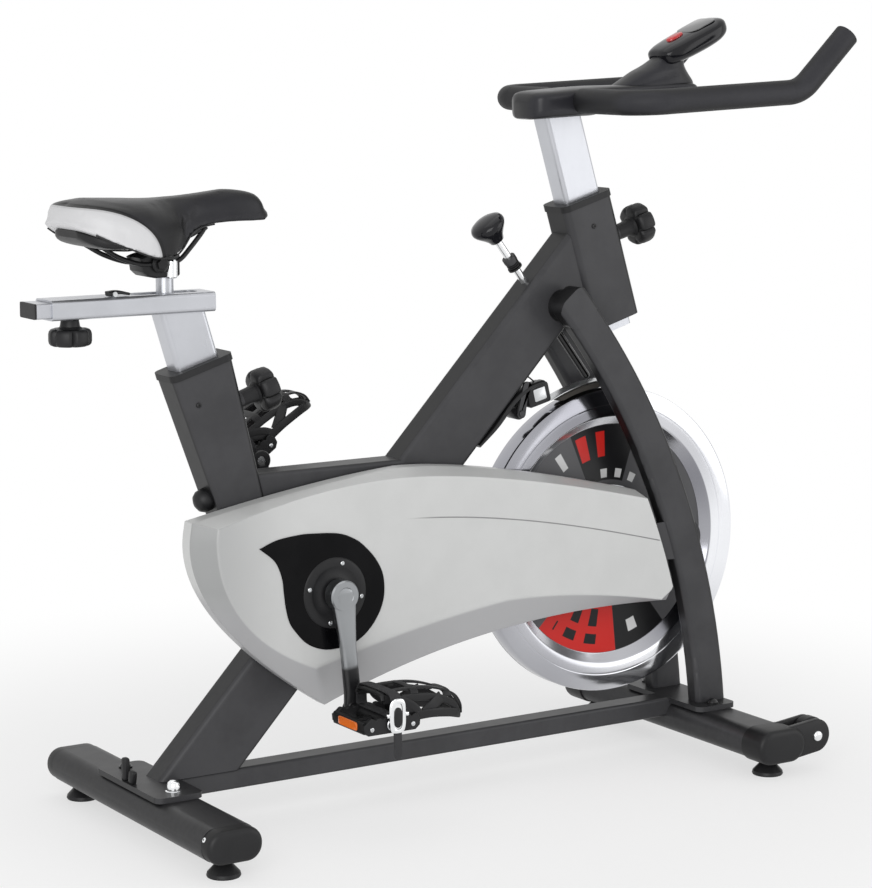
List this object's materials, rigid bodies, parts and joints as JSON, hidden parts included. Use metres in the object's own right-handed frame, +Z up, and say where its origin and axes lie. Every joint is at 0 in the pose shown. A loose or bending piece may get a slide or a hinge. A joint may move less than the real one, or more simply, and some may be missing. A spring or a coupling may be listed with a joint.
{
  "type": "exercise bike",
  "caption": "Indoor cycling bike with a heavy disc flywheel, sliding saddle and handlebar posts, toe-cage pedals, a drive guard and a push-and-turn brake knob.",
  "frame": {"origin": "on the floor on the centre plane, midway between the front and rear feet and at the middle of the whole bike's length", "axes": "+X forwards towards the handlebar's tips, +Y to the rider's left, +Z up"},
  "size_m": [1.299, 0.526, 1.1641],
  "materials": {
    "frame_paint": "satin black powder coat",
    "black_plastic": "fine-textured moulding",
    "gloss_black": "glossy moulding",
    "chrome": "polished plate",
    "bearing_steel": "ground steel",
    "guard_plastic": "light grey semi-gloss moulding",
    "belt_rubber": "moulded rubber",
    "disc_paint": "dark grey satin paint",
    "aluminium": "machined and polished",
    "webbing": "woven strap",
    "silver_paint": "silver gloss paint",
    "black_steel": "black satin steel",
    "saddle_vinyl": "soft smooth cover",
    "grip_foam": "dense dipped foam",
    "red_plastic": "glossy red moulding",
    "brake_leather": "dense leather block"
  },
  "bodies": {
    "frame": {"main_beam": "frame_paint", "head_tube": "frame_paint", "seat_tube": "frame_paint", "post_bushes": "black_plastic", "top_tube": "frame_paint", "bottom_tube": "frame_paint", "stabilisers": "frame_paint", "stabiliser_plates": "frame_paint", "frame_bolts": "chrome", "end_caps": "black_plastic", "fork_arms": "frame_paint", "flywheel_axle": "chrome", "bottom_bracket_shell": "frame_paint", "bottom_bracket_bearings": "bearing_steel", "guard_shell": "guard_plastic", "guard_back": "black_plastic", "guard_insert": "gloss_black", "crank_cover": "black_plastic", "drive_belt": "belt_rubber", "brake_mounts": "frame_paint"},
    "flywheel": {"flywheel_rim": "chrome", "flywheel_disc": "disc_paint", "flywheel_hub": "aluminium"},
    "crankset": {"crank_spindle": "bearing_steel", "crank_pulley": "aluminium", "crank_arms": "aluminium", "pedal_axles": "chrome"},
    "pedal_right": {"pedal_right": "black_plastic", "toe_cage_right": "black_plastic", "toe_strap_right": "webbing"},
    "pedal_left": {"pedal_left": "black_plastic", "toe_cage_left": "black_plastic", "toe_strap_left": "webbing"},
    "seat_post": {"seat_post": "silver_paint", "slider_sleeve": "silver_paint"},
    "saddle": {"slider_tube": "silver_paint", "slider_plugs": "black_plastic", "saddle_clamp": "black_steel", "saddle_rails": "black_steel", "saddle_base": "black_plastic", "saddle_pad": "saddle_vinyl"},
    "handlebar": {"handlebar_post": "silver_paint", "bar_mount": "black_plastic", "handlebar_tube": "black_steel", "bar_grips": "grip_foam", "console": "gloss_black"},
    "console_button": {"console_button": "red_plastic"},
    "seat_knob": {"seat_knob": "black_plastic"},
    "bar_knob": {"bar_knob": "black_plastic"},
    "slider_knob": {"slider_knob": "black_plastic"},
    "brake_rod": {"brake_rod": "chrome"},
    "brake_knob": {"brake_knob": "black_plastic"},
    "brake_lever": {"brake_lever": "frame_paint", "brake_pad": "brake_leather"},
    "roller_right": {"roller_right": "belt_rubber"},
    "roller_left": {"roller_left": "belt_rubber"},
    "foot_rear_right": {"foot_rear_right": "belt_rubber"},
    "foot_rear_left": {"foot_rear_left": "belt_rubber"},
    "foot_front_right": {"foot_front_right": "belt_rubber"},
    "foot_front_left": {"foot_front_left": "belt_rubber"}
  },
  "joints": [
    {"name": "flywheel_spin", "type": "hinge", "parent": "frame", "child": "flywheel", "pos_m": [0.324, 0, 0.35], "axis": [0, 1, 0], "continuous": true},
    {"name": "crank_spin", "type": "hinge", "parent": "frame", "child": "crankset", "pos_m": [-0.21648, 0, 0.33889], "axis": [0, 1, 0], "continuous": true},
    {"name": "pedal_right_spin", "type": "hinge", "parent": "crankset", "child": "pedal_right", "pos_m": [-0.19871, -0.168, 0.16982], "axis": [0, 1, 0], "continuous": true},
    {"name": "pedal_left_spin", "type": "hinge", "parent": "crankset", "child": "pedal_left", "pos_m": [-0.23425, 0.168, 0.50796], "axis": [0, 1, 0], "continuous": true},
    {"name": "seat_height", "type": "slide", "parent": "frame", "child": "seat_post", "axis": [-0.294, 0, 0.9558], "range_m": [-0.055, 0.055]},
    {"name": "saddle_fore_aft", "type": "slide", "parent": "seat_post", "child": "saddle", "axis": [1, 0, 0], "range_m": [-0.038, 0.034]},
    {"name": "handlebar_height", "type": "slide", "parent": "frame", "child": "handlebar", "axis": [-0.289, 0, 0.9573], "range_m": [-0.05, 0.08]},
    {"name": "seat_knob_turn", "type": "hinge", "parent": "frame", "child": "seat_knob", "pos_m": [-0.29869, 0, 0.62563], "axis": [0.9558, 0, 0.294], "range_deg": [0, 360]},
    {"name": "bar_knob_turn", "type": "hinge", "parent": "frame", "child": "bar_knob", "pos_m": [0.36417, 0, 0.83658], "axis": [0.9573, 0, 0.289], "range_deg": [0, 360]},
    {"name": "slider_knob_turn", "type": "hinge", "parent": "seat_post", "child": "slider_knob", "pos_m": [-0.58673, 0, 0.72426], "axis": [0, 0, -1], "range_deg": [0, 360]},
    {"name": "brake_push", "type": "slide", "parent": "frame", "child": "brake_rod", "axis": [0.6101, 0, -0.7923], "range_m": [0, 0.002], "stiffness_N_per_m": 3000, "springref_m": -0.004},
    {"name": "brake_knob_turn", "type": "hinge", "parent": "brake_rod", "child": "brake_knob", "pos_m": [0.14908, 0, 0.78851], "axis": [0.6101, 0, -0.7923], "range_deg": [-360, 360]},
    {"name": "brake_lever_swing", "type": "hinge", "parent": "frame", "child": "brake_lever", "pos_m": [0.15263, 0, 0.56294], "axis": [0, 1, 0], "range_deg": [0, 0.8]},
    {"name": "roller_right_spin", "type": "hinge", "parent": "frame", "child": "roller_right", "pos_m": [0.547, -0.235, 0.057], "axis": [0, 1, 0], "continuous": true},
    {"name": "roller_left_spin", "type": "hinge", "parent": "frame", "child": "roller_left", "pos_m": [0.547, 0.235, 0.057], "axis": [0, 1, 0], "continuous": true},
    {"name": "foot_rear_right_turn", "type": "hinge", "parent": "frame", "child": "foot_rear_right", "pos_m": [-0.476, -0.224, 0], "axis": [0, 0, 1], "range_deg": [-360, 360]},
    {"name": "foot_rear_left_turn", "type": "hinge", "parent": "frame", "child": "foot_rear_left", "pos_m": [-0.476, 0.224, 0], "axis": [0, 0, 1], "range_deg": [-360, 360]},
    {"name": "foot_front_right_turn", "type": "hinge", "parent": "frame", "child": "foot_front_right", "pos_m": [0.476, -0.224, 0], "axis": [0, 0, 1], "range_deg": [-360, 360]},
    {"name": "foot_front_left_turn", "type": "hinge", "parent": "frame", "child": "foot_front_left", "pos_m": [0.476, 0.224, 0], "axis": [0, 0, 1], "range_deg": [-360, 360]},
    {"name": "console_button_press", "type": "slide", "parent": "handlebar", "child": "console_button", "axis": [0.4067, 0, -0.9135], "range_m": [0, 0.0015], "stiffness_N_per_m": 300, "springref_m": -0.001}
  ],
  "couplings": [
    {"joint": "crank_spin", "follows": "flywheel_spin", "ratio": 0.38095},
    {"joint": "brake_lever_swing", "follows": "brake_push", "rad_per_m": 6.5265}
  ]
}
